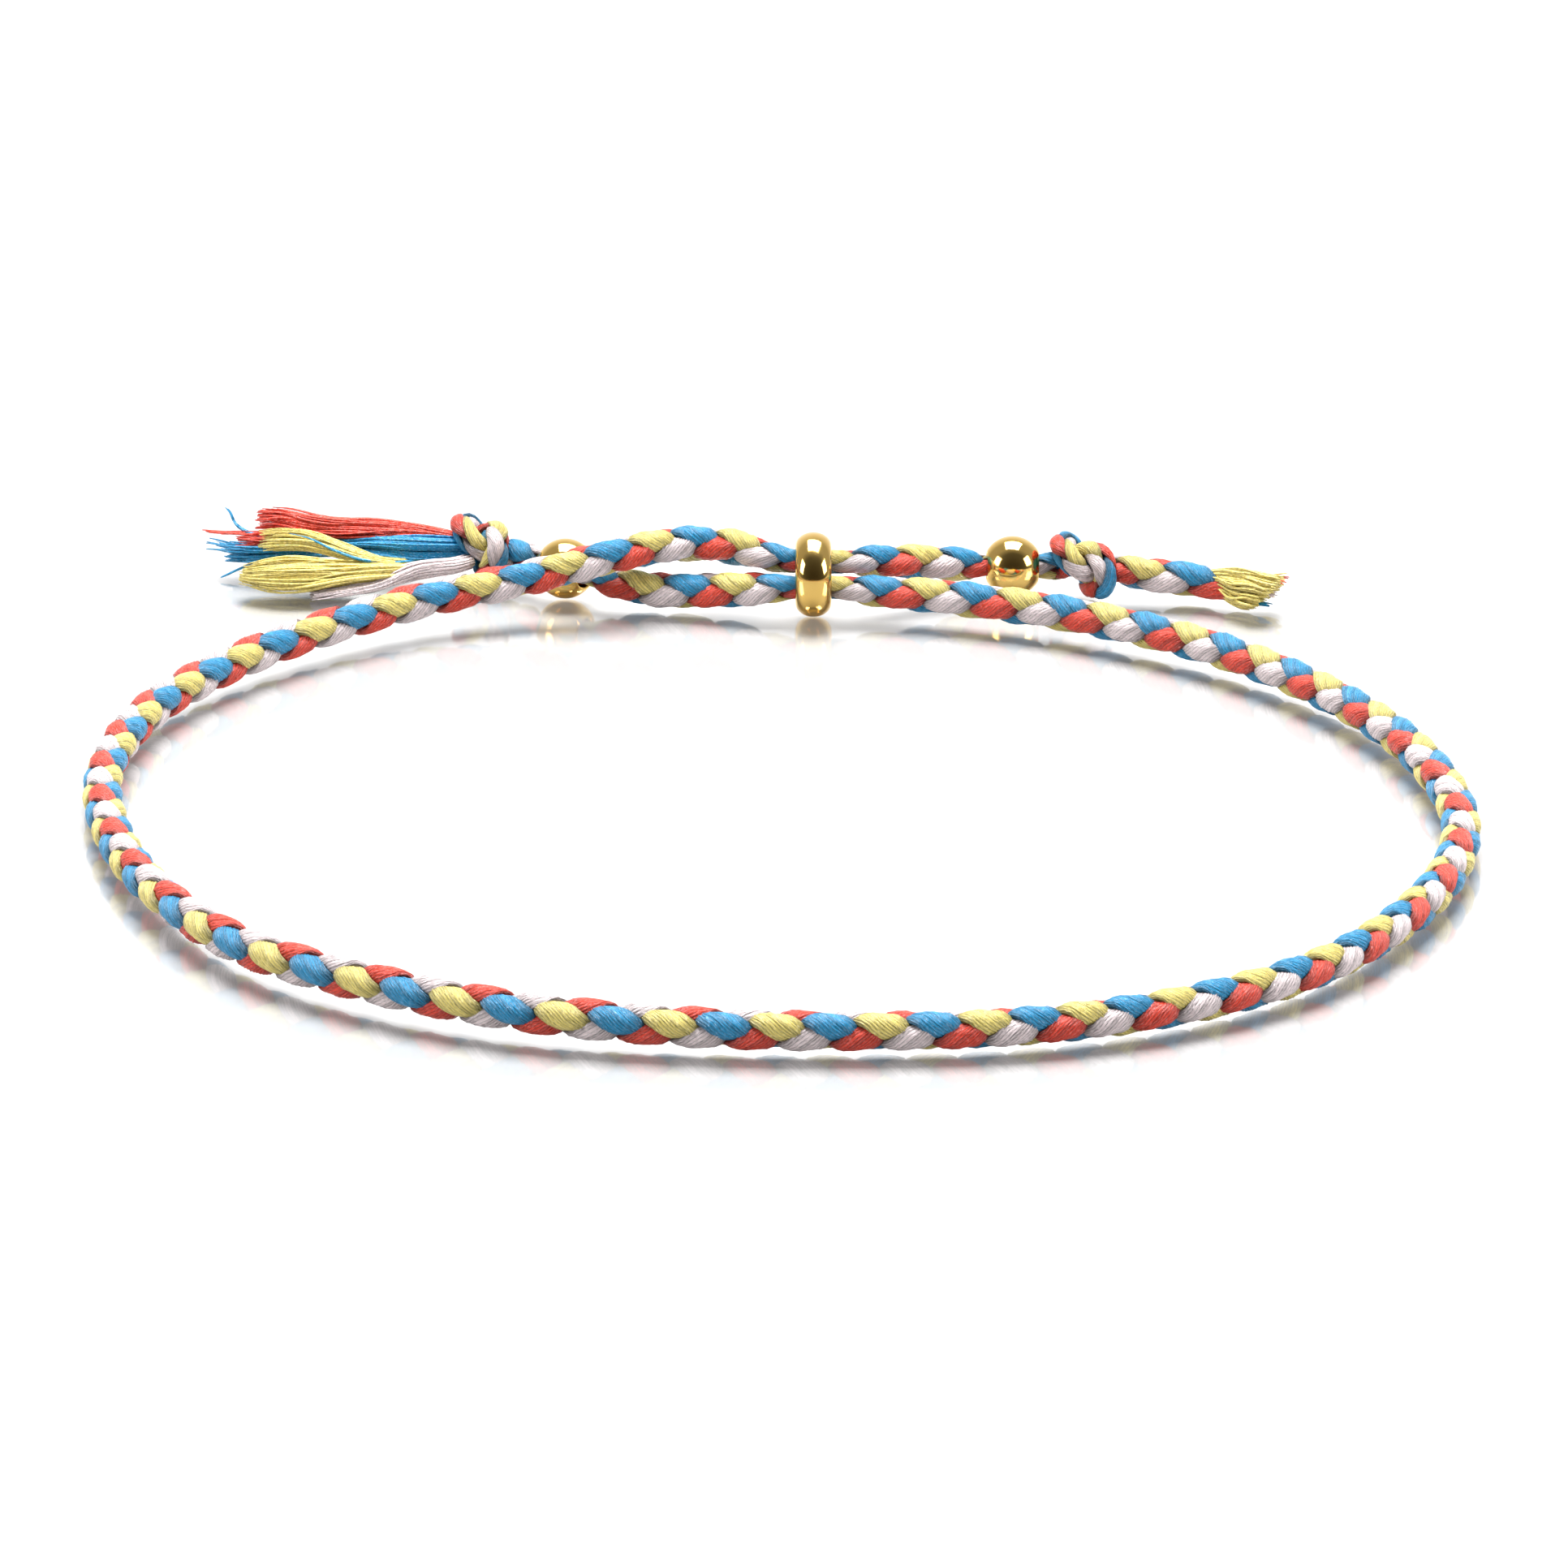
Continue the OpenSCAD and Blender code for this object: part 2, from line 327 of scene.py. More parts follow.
# %% How the braid lies along the cord
# Columns: mm from the left knot, repeats so far, twist in degrees from the outward side
BRAID = np.array([
    [0, -4.13, 122], [10, -2.02, 120], [20, 0.08, 110], [30, 2.13, 103], [40, 4.14, 99],
    [50, 6.15, 84], [58, 7.76, 55], [66, 9.25, 5], [75, 11.00, -30], [85, 13.21, -98],
    [95, 15.41, -95], [106, 17.92, -115], [117, 20.33, -140], [127, 22.42, -160],
    [137, 24.39, -165], [145, 25.90, -157], [152, 27.18, -188], [160, 28.88, -190],
    [169, 30.65, -198], [178, 32.61, -216], [187, 34.50, -220], [197, 36.42, -220],
    [205, 38.12, -228], [214, 40.15, -258], [223, 42.07, -258], [232, 44.0, -258],
])
# Millimetres of a repeat in the knots and in the tail, the tail's twist in degrees, the x
# of a blue patch on it in mm, and the stations over which stretches blend
KNOT_REPEAT = 4.2
TAIL_REPEAT, TAIL_TWIST, TAIL_BLUE_X = 4.66, -240, 20.2
BLEND = 9

start, end = CUTS["braid"][0], CUTS["braid"][1] - 1
along = run - run[start]
turns = np.interp(along, BRAID[:, 0], BRAID[:, 1])
turns += np.minimum(along, 0) / KNOT_REPEAT
turns += np.maximum(along - BRAID[-1, 0], 0) / KNOT_REPEAT
twist = lean + np.radians(np.interp(along, BRAID[:, 0], BRAID[:, 2]))
tail_at = CUTS["tail"][0]
twist[:start], twist[end:tail_at] = twist[start], twist[end - 1]
blue_at = tail_at + int(np.abs(line[tail_at:, 0] - TAIL_BLUE_X).argmin())
tail_turns = (run[tail_at:] - run[blue_at]) / TAIL_REPEAT
turns[tail_at:] = tail_turns + round(turns[tail_at] - tail_turns[0])
for name, facts in KNOTS.items():
    low, high = CUTS[name]
    inside = slice(low + BLEND if low else 0, high - BLEND)
    turns[inside] += facts["repeats"]
    twist[inside] += np.radians(np.linspace(*facts["twist"], inside.stop - inside.start))
    twist[inside.stop:high] += math.radians(facts["twist"][1]) * (name == "knot_right")
tail_turn = lean[tail_at:] + math.radians(TAIL_TWIST)
whole_turns = round((twist[tail_at - 1] - tail_turn[0]) / (2 * math.pi))
twist[tail_at:] = tail_turn + 2 * math.pi * whole_turns
turns = blur(turns, BLEND)
twist = blur(twist, BLEND)
print("repeats of the braid from knot to knot: %.1f" % (turns[end] - turns[start]))

# %% [markdown]
# In a round braid of four, blue and yellow go round one way, coral and white the other.
# Seen along the cord, each bundle swings on a flat loop: it lies on the outside at one
# face of the cord, dives under a bundle of the other pair, and comes up on the opposite
# face. On top it is pressed wide and flat and bent round the cord, and in the middle it is
# squeezed nearly round. Its flat side turns evenly as it goes, so its front edge lies over
# its neighbour and its back edge under the next one, and the yarns cross it on a slant.

# %% The path of a bundle in the cord
# In mm for a cord at its full thickness: how far a bundle swings out and drifts sideways
SWING, DRIFT = 0.65, 0.3
BUNDLES = {
    "blue": {"pair": 0, "half_turn": 0.0}, "yellow": {"pair": 0, "half_turn": math.pi},
    "coral": {"pair": 1, "half_turn": 0.0}, "white": {"pair": 1, "half_turn": math.pi},
}


def blunted(value, how_much):
    """tanh(how_much * value) / tanh(how_much): -1, 0 and 1 stay, the rest moves outwards."""
    return np.tanh(how_much * value) / math.tanh(how_much)


def bundle_in_section(pair, half_turn):
    """Place of a bundle in the cord's section at each station in mm, the direction that
    its flat side faces, and how far up it lies (1 on top, 0 where it dives).
    First pair: x = swing * blunted(cos a), y = drift * blunted(sin a), facing (cos a, sin a).
    The second pair is the same loop turned by a quarter and run the other way."""
    a = 2 * math.pi * turns + half_turn
    if pair == 0:
        x, y = SWING * blunted(np.cos(a), 1.0), DRIFT * blunted(np.sin(a), 1.4)
        return x, y, np.cos(a), np.sin(a), np.abs(np.cos(a))
    x, y = -DRIFT * blunted(np.cos(a), 1.4), SWING * blunted(np.sin(a), 1.0)
    return x, y, -np.cos(a), np.sin(a), np.abs(np.sin(a))


# %% The surface of a bundle
# Yarns in a bundle, and points of a ring on each
YARNS, PER_YARN = 22, 3
# In mm for a cord at its full thickness: half a bundle's width where it dives and its gain
# on top, half its thickness, the radius that it bends round, a yarn's ridge and its swell
HALF_WIDTH, WIDTH_GAIN, HALF_THICK, BEND = 0.38, 0.28, 0.3, 0.9
RIDGE, SWELL = 0.05, 0.01
# How round a ridge is, and how far a yarn wanders, as a share of the rim
ROUNDNESS, STRAY = 0.94, 0.004


def around_ellipse(share, flat=2.2):
    """The angle on an ellipse after this share of its rim, for an ellipse flat times as
    wide as it is thick. Equal shares are equal lengths of rim, as for equal yarns."""
    angle = np.linspace(0, 2 * math.pi, 721)
    speed = np.hypot(flat * np.sin(angle), np.cos(angle))
    rim = np.concatenate([[0], np.cumsum((speed[1:] + speed[:-1]) / 2)])
    return np.interp(share % 1.0, rim / rim[-1], angle)


def bundle_surface(pair, half_turn, seed):
    """Rings of one bundle: an ellipse across the bundle's own path, bent down at its edges
    by the square of the distance, with a round ridge for each yarn. Each yarn swells and
    wanders a little by a seeded random amount. Also returned: the distance along the path,
    and the painted shade of each point, darker where other bundles lie over it and at its
    edges, 1.2 * (1 - how far up) ** 1.5 + 0.5 * (share of half width) ** 8."""
    x, y, nx, ny, up = bundle_in_section(pair, half_turn)
    c, s = np.cos(twist)[:, None], np.sin(twist)[:, None]
    e1, e2 = c * carried + s * carried_up, c * carried_up - s * carried
    size = whole[:, 3][:, None]
    path = line + size * (x[:, None] * e1 + y[:, None] * e2)
    way = unit(np.gradient(path, axis=0))
    wide = unit(np.cross(way, nx[:, None] * e1 + ny[:, None] * e2))
    face = np.cross(wide, way)
    top = up[:, None] ** 0.6
    random = np.random.default_rng(seed)
    swell, stray = (np.apply_along_axis(blur, 0, random.normal(0, 1, (len(line), YARNS)), 6)
                    for _ in range(2))
    swell, stray = (np.repeat(v / v.std(), PER_YARN, axis=1) for v in (swell, stray))
    sides = YARNS * PER_YARN
    j = np.arange(sides)
    angle = around_ellipse(j[None, :] / sides + STRAY * stray)
    from_middle = 2 * (j % PER_YARN) / PER_YARN - 1
    ridge = (np.sqrt(1 - ROUNDNESS * from_middle ** 2) - 1)[None, :] * RIDGE
    ridge = ridge + SWELL * swell * (1 - from_middle ** 2)[None, :]
    across = (HALF_WIDTH + WIDTH_GAIN * top + ridge) * np.cos(angle)
    high = (HALF_THICK + ridge) * np.sin(angle) - (0.3 + 0.7 * top) * across ** 2 / (2 * BEND)
    rings = path[:, None, :] + (size * across)[:, :, None] * wide[:, None, :]
    rings = rings + (size * high)[:, :, None] * face[:, None, :]
    # Painted shade: darker where the bundle dives under the others and along its edges
    covered = 1.2 * (1 - up[:, None]) ** 1.5 + 0.5 * np.cos(angle) ** 8
    return rings, lengths_along(path), np.clip(covered, 0, 1)


# %% [markdown]
# Bundles, tassel threads and tuft threads are all closed tubes, so one function turns
# rings into a mesh. Its input is a block of points: tubes, rings, points round a ring.
# The UV map tells the thread material where it is: across, one unit is one yarn, and
# along, one unit is a millimetre.

# %% From rings to a closed mesh


def tubes_to_mesh(name, rings, yarn_across, along_mm, material):
    """rings is (tubes, rings, sides, 3) in mm. Each four neighbouring points make a quad,
    and a fan closes each end. yarn_across is (tubes, sides + 1), along_mm (tubes, rings)."""
    tubes, count, sides, _ = rings.shape
    tips = rings[:, [0, -1]].mean(axis=2)
    points = np.concatenate([rings.reshape(-1, 3), tips.reshape(-1, 3)]) * MM
    base = (np.arange(tubes) * count * sides)[:, None, None]
    i, j = np.arange(count - 1)[None, :, None], np.arange(sides)[None, None, :]
    k = (j + 1) % sides
    here, there = base + i * sides, base + (i + 1) * sides
    quads = np.stack([here + j, there + j, there + k, here + k], axis=-1).reshape(-1, 4)
    first = tubes * count * sides + 2 * np.arange(tubes)[:, None]
    ring = np.arange(sides)[None, :]
    after = (ring + 1) % sides
    low, high = base[:, :, 0], base[:, :, 0] + (count - 1) * sides
    fans = np.concatenate([
        np.stack(np.broadcast_arrays(*corners), axis=-1).reshape(-1, 3)
        for corners in ((low + ring, low + after, first), (high + after, high + ring, first + 1))])
    u0, u1 = yarn_across[:, None, :-1], yarn_across[:, None, 1:]
    v0, v1 = along_mm[:, :-1, None], along_mm[:, 1:, None]
    corner_uv = [np.stack(np.broadcast_arrays(u, v), axis=-1)
                 for u, v in ((u0, v0), (u0, v1), (u1, v1), (u1, v0))]
    quad_uv = np.stack(corner_uv, axis=3).reshape(-1, 2)
    end_uv = [np.stack(np.broadcast_arrays(u, v), axis=-1)
              for v in (along_mm[:, :1], along_mm[:, -1:])
              for u in (yarn_across[:, :-1], yarn_across[:, 1:], yarn_across[:, :-1])]
    fan_uv = np.concatenate([np.stack(three, axis=2).reshape(-1, 2)
                             for three in (end_uv[:3], end_uv[3:])])
    mesh = bpy.data.meshes.new(name)
    mesh.vertices.add(len(points))
    mesh.vertices.foreach_set("co", points.astype(np.float32).ravel())
    mesh.loops.add(quads.size + fans.size)
    corners = np.concatenate([quads.ravel(), fans.ravel()])
    mesh.loops.foreach_set("vertex_index", corners.astype(np.int32))
    starts = np.concatenate([4 * np.arange(len(quads)), quads.size + 3 * np.arange(len(fans))])
    mesh.polygons.add(len(starts))
    mesh.polygons.foreach_set("loop_start", starts.astype(np.int32))
    mesh.polygons.foreach_set("use_smooth", np.ones(len(starts), bool))
    uv = mesh.uv_layers.new(name="UVMap")
    uv.data.foreach_set("uv", np.concatenate([quad_uv, fan_uv]).astype(np.float32).ravel())
    mesh.update(calc_edges=True)
    mesh.validate()
    mesh.materials.append(material)
    return new_object(name, mesh)


# %% [markdown]
# Thread is a soft, slightly shiny fibre. Seen close, each yarn is twisted from plies, which
# shows as fine slanting ridges, it has hairs of its own whose glints are painted in as paler
# specks, and no two yarns have quite the same depth of colour. The grooves between yarns get
# painted shade, and so does a bundle where it dives under the others and along its edges.
# One node group works this out from the UV map and from the painted shade that the mesh
# stores at each point, and all colours of thread use it.

# %% Two helpers for nodes


def set_inputs(node, **values):
    """Sets the inputs with these names, in which an underscore stands for a space."""
    for title, value in values.items():
        node.inputs[title.replace("_", " ")].default_value = value
    return node


def new_material(name):
    """A new material, and the parts of it that every material function needs."""
    material = bpy.data.materials.new(name)
    material.use_nodes = True
    tree = material.node_tree
    return material, tree.nodes, tree.links, tree.nodes["Principled BSDF"]


# %% Node group for twisted yarn
# How far over its middle the noise starts a painted glint, and how much further it is brightest
GLINT_FROM, GLINT_RANGE = 0.06, 0.14


def twisted_yarn_group():
    """Shade, glint and height of yarn. Plies: a sine of the distance along plus the
    distance across. Fibres: noise drawn out along the yarn. Shade: one random number a
    yarn, plus the noise, then painted shade in the groove, by the fourth power of the
    distance from the middle of the yarn, and the painted shade that the mesh stores where
    other bundles lie over it. Glint, a painted highlight: how far the noise is over its
    upper level."""
    group = bpy.data.node_groups.new("twisted_yarn", "ShaderNodeTree")
    for title, value in (("Ply length", 0.5), ("Yarn change", 0.36), ("Fibre", 1.8),
                         ("Groove shade", 0.55), ("Painted shade strength", 0.7)):
        socket = group.interface.new_socket(title, in_out="INPUT", socket_type="NodeSocketFloat")
        socket.default_value = value
    for title in ("Shade", "Glint", "Height"):
        group.interface.new_socket(title, in_out="OUTPUT", socket_type="NodeSocketFloat")
    nodes, links = group.nodes, group.links
    given = nodes.new("NodeGroupInput")
    result = nodes.new("NodeGroupOutput")
    place = nodes.new("ShaderNodeUVMap")
    place.uv_map = "UVMap"
    split = nodes.new("ShaderNodeSeparateXYZ")
    links.new(place.outputs["UV"], split.inputs[0])

    def calc(kind, a, b):
        """The result of a sum on two numbers or other nodes' outputs."""
        node = nodes.new("ShaderNodeMath")
        node.operation = kind
        for entry, value in zip(node.inputs, (a, b)):
            if isinstance(value, (int, float)):
                entry.default_value = value
            else:
                links.new(value, entry)
        return node.outputs[0]

    across, down = split.outputs["X"], split.outputs["Y"]
    slant = calc("ADD", calc("DIVIDE", down, given.outputs["Ply length"]), across)
    ply = calc("SINE", calc("MULTIPLY", slant, 2 * math.pi), 0.0)
    hair_place = nodes.new("ShaderNodeCombineXYZ")
    links.new(calc("MULTIPLY", across, 4.0), hair_place.inputs["X"])
    links.new(calc("MULTIPLY", down, 3.0), hair_place.inputs["Y"])
    hair = set_inputs(nodes.new("ShaderNodeTexNoise"), Scale=2.2, Detail=3.0)
    links.new(hair_place.outputs[0], hair.inputs["Vector"])
    own = nodes.new("ShaderNodeTexWhiteNoise")
    own.noise_dimensions = "1D"
    links.new(calc("FLOOR", across, 0.0), own.inputs["W"])
    own_part = calc("SUBTRACT", own.outputs["Value"], 0.5)
    own_part = calc("MULTIPLY", own_part, given.outputs["Yarn change"])
    hair_part = calc("SUBTRACT", hair.outputs["Fac"], 0.5)
    shade = calc("ADD", calc("MULTIPLY", hair_part, given.outputs["Fibre"]), own_part)
    shade = calc("ADD", calc("MULTIPLY", ply, 0.03), shade)
    from_middle = calc("MULTIPLY", calc("SUBTRACT", calc("FRACT", across, 0.0), 0.5), 2.0)
    # Painted shade in the groove between neighbouring yarns
    groove = calc("MULTIPLY", calc("POWER", from_middle, 4.0), given.outputs["Groove shade"])
    # Painted shade stored on the mesh, darker where other bundles lie over this one
    covered = nodes.new("ShaderNodeAttribute")
    covered.attribute_name = "covered"
    painted_shade_factor = calc("MULTIPLY", covered.outputs["Fac"], given.outputs["Painted shade strength"])
    painted_shade_factor = calc("SUBTRACT", 1.0, painted_shade_factor)
    shade = calc("ADD", calc("SUBTRACT", shade, groove), 1.0)
    links.new(calc("MULTIPLY", shade, painted_shade_factor), result.inputs["Shade"])
    glint = calc("MAXIMUM", calc("SUBTRACT", hair_part, GLINT_FROM), 0.0)
    glint = calc("MINIMUM", glint, GLINT_RANGE)
    links.new(calc("MULTIPLY", glint, 7.0), result.inputs["Glint"])
    height = calc("ADD", calc("MULTIPLY", ply, 0.25), calc("MULTIPLY", hair_part, 1.6))
    links.new(calc("ADD", height, 0.5), result.inputs["Height"])
    return group


twisted_yarn = twisted_yarn_group()

# %% [markdown]
# The four threads differ only in their colour and sheen, so one function makes all four
# materials. The colour is multiplied by the yarn's shade, which holds painted shade, and made
# paler where a painted glint stands for a fibre's highlight. It is deeper than the thread
# looks, because the soft light from all sides lifts it.

# %% Thread materials
# How much white is painted into a glint, a painted highlight
GLINT_WHITE = 0.28
THREADS = {
    "blue": {"slot": "blue_thread", "color": (0.005, 0.28, 0.56), "sheen": 0.06},
    "yellow": {"slot": "yellow_thread", "color": (0.86, 0.71, 0.19), "sheen": 0.08},
    "coral": {"slot": "coral_thread", "color": (0.8, 0.05, 0.018), "sheen": 0.06},
    "white": {"slot": "white_thread", "color": (0.84, 0.72, 0.73), "sheen": 0.08},
}


def thread_material(slot, color, sheen):
    """Cotton thread: base colour times the yarn's shade with its painted shade, made paler by a
    painted glint, with a soft sheen and fine ridges.
    """
    material, nodes, links, shader = new_material(slot)
    yarn = nodes.new("ShaderNodeGroup")
    yarn.node_tree = twisted_yarn
    tint = nodes.new("ShaderNodeMix")
    tint.data_type = "RGBA"
    tint.blend_type = "MULTIPLY"
    set_inputs(tint, Factor=1.0, A=(*color, 1))
    links.new(yarn.outputs["Shade"], tint.inputs["B"])
    lit = nodes.new("ShaderNodeMix")
    lit.data_type = "RGBA"
    paler = [(1 - GLINT_WHITE) * part + GLINT_WHITE for part in color]
    set_inputs(lit, B=(*paler, 1))
    links.new(yarn.outputs["Glint"], lit.inputs["Factor"])
    links.new(tint.outputs["Result"], lit.inputs["A"])
    links.new(lit.outputs["Result"], shader.inputs["Base Color"])
    ridges = set_inputs(nodes.new("ShaderNodeBump"), Strength=1.0, Distance=0.055 * MM)
    links.new(yarn.outputs["Height"], ridges.inputs["Height"])
    links.new(ridges.outputs["Normal"], shader.inputs["Normal"])
    set_inputs(shader, Roughness=0.3, Specular_IOR_Level=0.5, Sheen_Weight=sheen,
               Sheen_Roughness=0.4)
    return material


thread = {colour: thread_material(**facts) for colour, facts in THREADS.items()}
print("materials:", *(material.name for material in thread.values()))

# %% [markdown]
# Now the braid. Each bundle is one surface from end to end, cut where the CAD model has
# its own nodes: the left knot, the braid, the right knot and the tail. Neighbouring
# stretches share a ring, so no gap shows.

# %% Make the braid, knots and tail


def triangles(mesh):
    """How many triangles the faces of a mesh come to."""
    return sum(len(face.vertices) - 2 for face in mesh.polygons)


made = {part: [] for part in CUTS}
for seed, (colour, facts) in enumerate(BUNDLES.items()):
    rings, travelled, covered = bundle_surface(**facts, seed=seed)
    yarn_across = np.arange(YARNS * PER_YARN + 1)[None, :] / PER_YARN
    for part, (low, high) in CUTS.items():
        piece = tubes_to_mesh(part + "_" + colour, rings[None, low:high], yarn_across,
                              travelled[None, low:high], thread[colour])
        # Store the painted shade of each point on the mesh
        cover = piece.data.attributes.new("covered", "FLOAT", "POINT")
        cover.data.foreach_set("value", np.append(covered[low:high].ravel(), [0, 0]))
        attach(piece, "root")
        made[part].append(piece)
for part, node in zip(CUTS, ("knot_left", "braided_cord", "knot_right", "cord_tail")):
    for piece in made[part]:
        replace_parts(piece, node)
print("triangles in a bundle of the braid:", triangles(made["braid"][0].data))

# %% [markdown]
# Past the knots the bundles are not braided, and their threads lie free. Each colour parts
# into a few locks, and each lock has a short route of its own with its width and height.
# In a lock the threads keep together in clumps, as combed hair does, and every thread
# wanders a little on its own. The tips end at different lengths and spread.

# %% Paths of loose threads
# A thread's thickness in mm, points along a lock's route, threads that keep together
THREAD_D, LOCK_POINTS, THREADS_PER_CLUMP = 0.105, 80, 9
# Shares of a lock's half width: a clump's place and a thread's place in it, then their waves
CLUMP_PLACE, OWN_PLACE, CLUMP_WAVE, OWN_WAVE = 0.75, 0.4, 0.15, 0.07


def lock_paths(rows, count, random, stations, waves, ends, slant, splay):
    """Paths of the threads in one lock. Columns of rows: x, y, z, half width, half height.
    Place across = clump's place + own place, both on a disc, + slow waves, times the half
    width and height there. More threads lie near the rim of the disc, where they show.
    Returned with the share of the way at each station."""
    route = spaced(smooth_rows(np.array(rows, float)), LOCK_POINTS)
    share = np.linspace(0, 1, LOCK_POINTS)
    clumps = max(1, count // THREADS_PER_CLUMP)
    clump = random.integers(0, clumps, count)
    both = clumps + count
    disc = np.sqrt(0.2 + 0.8 * random.random(both)) * np.exp(2j * math.pi * random.random(both))
    place = CLUMP_PLACE * disc[:clumps][clump] + OWN_PLACE * disc[clumps:]
    finish = 1 - ends * random.random(count) ** 1.3 - slant * (1 - place.imag) / 2
    s = np.linspace(0, 1, stations)[None, :]
    t = s * finish[:, None]
    middle = read_table(share, route, t)
    level = unit(np.cross([0, 0, 1], np.gradient(route[:, :3], axis=0)))
    level = read_table(share, level, t)
    start = np.minimum(2.5 * t, 1)
    place = place[:, None]
    for size, members in ((CLUMP_WAVE, clump), (OWN_WAVE, np.arange(count))):
        wave = random.normal(0, 1, (members.max() + 1, 4))[members]
        bend = wave[:, :1] * np.sin(2.4 * math.pi * t + 6 * wave[:, 1:2])
        lift = wave[:, 2:3] * np.sin(2.9 * math.pi * t + 6 * wave[:, 3:4])
        place = place + waves * size * (bend + 1j * lift) * start
    place = place * (1 + splay * np.clip(t, 0, 1) ** 4)
    path = middle[..., :3] + (place.real * middle[..., 3])[..., None] * level
    path[..., 2] += place.imag * middle[..., 4]
    path[..., 2] = np.maximum(path[..., 2], THREAD_D / 2)
    return path, s


# %% Threads along the paths


def loose_threads(name, colour, locks, seed, stations=22, waves=1.0, sides=4):
    """Round tubes along the paths of all locks of one colour. Each has its own thickness
    and gets half as thick over its last eighth."""
    random = np.random.default_rng(seed)
    parts = [lock_paths(rows, count, random, stations, waves, ends, slant, splay)
             for rows, count, ends, slant, splay in locks]
    path, s = np.concatenate([part[0] for part in parts]), parts[0][1]
    count = len(path)
    forward = unit(np.gradient(path, axis=1))
    right = unit(np.cross(forward, [0, 0, 1.0]))
    top = np.cross(right, forward)
    turn = 2 * math.pi * np.arange(sides + 1) / sides
    thick = THREAD_D / 2 * (1 + 0.15 * random.normal(0, 1, (count, 1)))
    thick = thick * (1 - 0.5 * np.clip(8 * s - 7, 0, 1))
    ring = (np.cos(turn)[:sides, None] * right[:, :, None, :]
            + np.sin(turn)[:sides, None] * top[:, :, None, :])
    rings = path[:, :, None, :] + thick[:, :, None, None] * ring
    lengths = np.linalg.norm(np.diff(path, axis=1), axis=2)
    along_mm = np.concatenate([np.zeros((count, 1)), np.cumsum(lengths, axis=1)], axis=1)
    across = np.arange(count)[:, None] + 0.5 + 0.2 * np.cos(turn)[None, :]
    piece = tubes_to_mesh(name, rings, across, along_mm, thread[colour])
    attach(piece, "root")
    print(name, "has", count, "threads")
    return piece


# %% [markdown]
# The tassel's locks are placed one by one as the photograph shows them: coral on top at
# the back, blue below it, yellow swelling to the front in two locks, white along the table.
# A few single threads stray from the rest. The tuft at the other end is short and cut on
# a slant, so its upper threads reach further.

